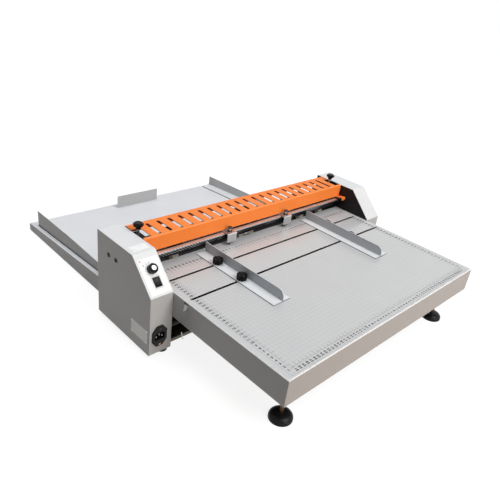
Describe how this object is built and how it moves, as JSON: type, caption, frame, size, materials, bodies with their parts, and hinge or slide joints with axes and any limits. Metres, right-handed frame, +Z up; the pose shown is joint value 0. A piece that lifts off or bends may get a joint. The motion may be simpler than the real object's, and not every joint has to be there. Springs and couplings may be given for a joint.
{
  "type": "paper creasing machine",
  "caption": "Table-top paper creasing machine with a ruled feed table, clamped side guides, a hinged slotted roller cover, pressure knobs and a rear catch tray.",
  "frame": {"origin": "under the middle of the whole machine's box, on the desk", "axes": "+Z up, +Y the way the sheets run, from the feed table to the catch tray, +X to the right of someone who feeds the machine"},
  "size_m": [0.796, 0.994, 0.24],
  "materials": {
    "white_coat": "fine textured powder coat",
    "table_coat": "satin powder coat with a printed ruler",
    "grey_coat": "satin powder coat",
    "black_coat": "satin black",
    "pan_coat": "dark polished sheet",
    "orange_coat": "smooth satin orange",
    "black_steel": "blackened and oiled",
    "steel": "ground and polished",
    "zinc": "zinc plated",
    "black_plastic": "moulded",
    "cap_metal": "turned",
    "cream_rubber": "soft matt",
    "light_plastic": "moulded",
    "gear_steel": "cut teeth, lightly oiled",
    "bronze": "turned",
    "board": "circuit board",
    "belt": "fabric backed",
    "foot_rubber": "matt"
  },
  "bodies": {
    "root": {"left_housing": "white_coat", "right_housing": "white_coat", "left_side_plate": "black_coat", "right_side_plate": "black_coat", "base_pan": "pan_coat", "tie_bars": "black_steel", "housing_feet": "foot_rubber", "feed_table": "table_coat", "table_rail": "table_coat", "guide_bar": "steel", "lower_bearings": "bronze", "lift_springs": "zinc", "pressure_frames": "black_coat", "exit_plate": "grey_coat", "drive_motor": "black_coat", "motor_bracket": "zinc", "drive_belt": "belt", "hinge_pins": "steel", "speed_control": "black_plastic", "switch_frame": "black_plastic", "power_inlet": "black_plastic", "control_board": "board", "catch_tray": "white_coat"},
    "cover": {"cover": "orange_coat"},
    "upper_carriage": {"upper_bearings": "bronze"},
    "upper_roller": {"upper_shaft": "steel", "upper_wheels": "light_plastic", "creasing_disc": "steel", "upper_gear": "gear_steel"},
    "left_pressure": {"left_pressure_screw": "steel", "left_pressure_knob": "black_plastic"},
    "right_pressure": {"right_pressure_screw": "steel", "right_pressure_knob": "black_plastic"},
    "lower_roller": {"lower_shaft": "black_steel", "lower_wheels": "cream_rubber", "creasing_ring": "steel", "lower_gear": "gear_steel", "shaft_pulley": "steel"},
    "motor_rotor": {"motor_pulley": "steel"},
    "speed_dial": {"speed_knob": "black_plastic", "knob_cap": "cap_metal"},
    "rocker": {"rocker_button": "black_plastic"},
    "left_side_guide": {"left_guide": "grey_coat"},
    "left_front_clamp": {"left_front_knob": "black_plastic"},
    "left_rear_clamp": {"left_rear_knob": "black_plastic"},
    "right_side_guide": {"right_guide": "grey_coat"},
    "right_front_clamp": {"right_front_knob": "black_plastic"},
    "right_rear_clamp": {"right_rear_knob": "black_plastic"},
    "left_hold_down": {"left_clip": "grey_coat"},
    "left_hold_screw": {"left_clip_screw": "steel"},
    "right_hold_down": {"right_clip": "grey_coat"},
    "right_hold_screw": {"right_clip_screw": "steel"},
    "left_foot": {"left_levelling_foot": "black_plastic", "left_foot_stud": "zinc"},
    "right_foot": {"right_levelling_foot": "black_plastic", "right_foot_stud": "zinc"},
    "left_tray_side": {"left_tray_guide": "grey_coat"},
    "right_tray_side": {"right_tray_guide": "grey_coat"},
    "tray_end": {"tray_stop": "grey_coat"}
  },
  "joints": [
    {"name": "cover_hinge", "type": "hinge", "parent": "root", "child": "cover", "pos_m": [0, 0.005, 0.206], "axis": [-1, 0, 0], "range_deg": [0, 100]},
    {"name": "carriage_lift", "type": "slide", "parent": "root", "child": "upper_carriage", "axis": [0, 0, 1], "range_m": [0, 0.0025], "deforming": ["lift_springs"]},
    {"name": "upper_spin", "type": "hinge", "parent": "upper_carriage", "child": "upper_roller", "pos_m": [0, -0.027, 0.1785], "axis": [1, 0, 0], "continuous": true},
    {"name": "left_knob_turn", "type": "hinge", "parent": "upper_carriage", "child": "left_pressure", "pos_m": [-0.332, -0.027, 0.234], "axis": [0, 0, 1], "range_deg": [0, 720]},
    {"name": "right_knob_turn", "type": "hinge", "parent": "upper_carriage", "child": "right_pressure", "pos_m": [0.332, -0.027, 0.234], "axis": [0, 0, 1], "range_deg": [0, 720]},
    {"name": "lower_spin", "type": "hinge", "parent": "root", "child": "lower_roller", "pos_m": [0, -0.027, 0.1295], "axis": [1, 0, 0], "continuous": true},
    {"name": "motor_spin", "type": "hinge", "parent": "root", "child": "motor_rotor", "pos_m": [-0.367, -0.077, 0.05], "axis": [1, 0, 0], "continuous": true},
    {"name": "dial_turn", "type": "hinge", "parent": "root", "child": "speed_dial", "pos_m": [-0.3703, -0.13506, 0.19034], "axis": [0, -0.7019, 0.7122], "range_deg": [-150, 150]},
    {"name": "rocker_tilt", "type": "hinge", "parent": "root", "child": "rocker", "pos_m": [-0.369, -0.15388, 0.16983], "axis": [1, 0, 0], "range_deg": [0, 14]},
    {"name": "left_guide_slide", "type": "slide", "parent": "root", "child": "left_side_guide", "axis": [1, 0, 0], "range_m": [-0.12, 0.02]},
    {"name": "right_guide_slide", "type": "slide", "parent": "root", "child": "right_side_guide", "axis": [1, 0, 0], "range_m": [-0.02, 0.11]},
    {"name": "left_front_clamp_turn", "type": "hinge", "parent": "left_side_guide", "child": "left_front_clamp", "pos_m": [-0.1925, -0.217, 0.158], "axis": [0, 0, 1], "range_deg": [0, 540]},
    {"name": "left_rear_clamp_turn", "type": "hinge", "parent": "left_side_guide", "child": "left_rear_clamp", "pos_m": [-0.1925, -0.137, 0.158], "axis": [0, 0, 1], "range_deg": [0, 540]},
    {"name": "right_front_clamp_turn", "type": "hinge", "parent": "right_side_guide", "child": "right_front_clamp", "pos_m": [0.1995, -0.217, 0.158], "axis": [0, 0, 1], "range_deg": [0, 540]},
    {"name": "right_rear_clamp_turn", "type": "hinge", "parent": "right_side_guide", "child": "right_rear_clamp", "pos_m": [0.1995, -0.137, 0.158], "axis": [0, 0, 1], "range_deg": [0, 540]},
    {"name": "left_clip_slide", "type": "slide", "parent": "root", "child": "left_hold_down", "axis": [1, 0, 0], "range_m": [-0.01, 0.06]},
    {"name": "right_clip_slide", "type": "slide", "parent": "root", "child": "right_hold_down", "axis": [1, 0, 0], "range_m": [-0.06, 0.01]},
    {"name": "left_clip_turn", "type": "hinge", "parent": "left_hold_down", "child": "left_hold_screw", "pos_m": [-0.106, -0.076, 0.17], "axis": [0, 0, 1], "range_deg": [0, 720]},
    {"name": "right_clip_turn", "type": "hinge", "parent": "right_hold_down", "child": "right_hold_screw", "pos_m": [0.0935, -0.076, 0.17], "axis": [0, 0, 1], "range_deg": [0, 720]},
    {"name": "left_foot_turn", "type": "hinge", "parent": "root", "child": "left_foot", "pos_m": [-0.2895, -0.4565, 0.008], "axis": [0, 0, 1], "range_deg": [-720, 720]},
    {"name": "right_foot_turn", "type": "hinge", "parent": "root", "child": "right_foot", "pos_m": [0.2895, -0.4565, 0.008], "axis": [0, 0, 1], "range_deg": [-720, 720]},
    {"name": "left_tray_slide", "type": "slide", "parent": "root", "child": "left_tray_side", "axis": [1, 0, 0], "range_m": [-0.008, 0.1]},
    {"name": "right_tray_slide", "type": "slide", "parent": "root", "child": "right_tray_side", "axis": [1, 0, 0], "range_m": [-0.1, 0.025]},
    {"name": "tray_stop_slide", "type": "slide", "parent": "root", "child": "tray_end", "axis": [0, 0.9983, -0.0575], "range_m": [-0.2, 0.008]}
  ],
  "couplings": [
    {"joint": "upper_spin", "follows": "lower_spin", "ratio": -0.68966},
    {"joint": "motor_spin", "follows": "lower_spin", "ratio": 1.6667},
    {"joint": "left_knob_turn", "follows": "carriage_lift", "rad_per_m": 5026.5},
    {"joint": "right_knob_turn", "follows": "carriage_lift", "rad_per_m": 5026.5}
  ]
}
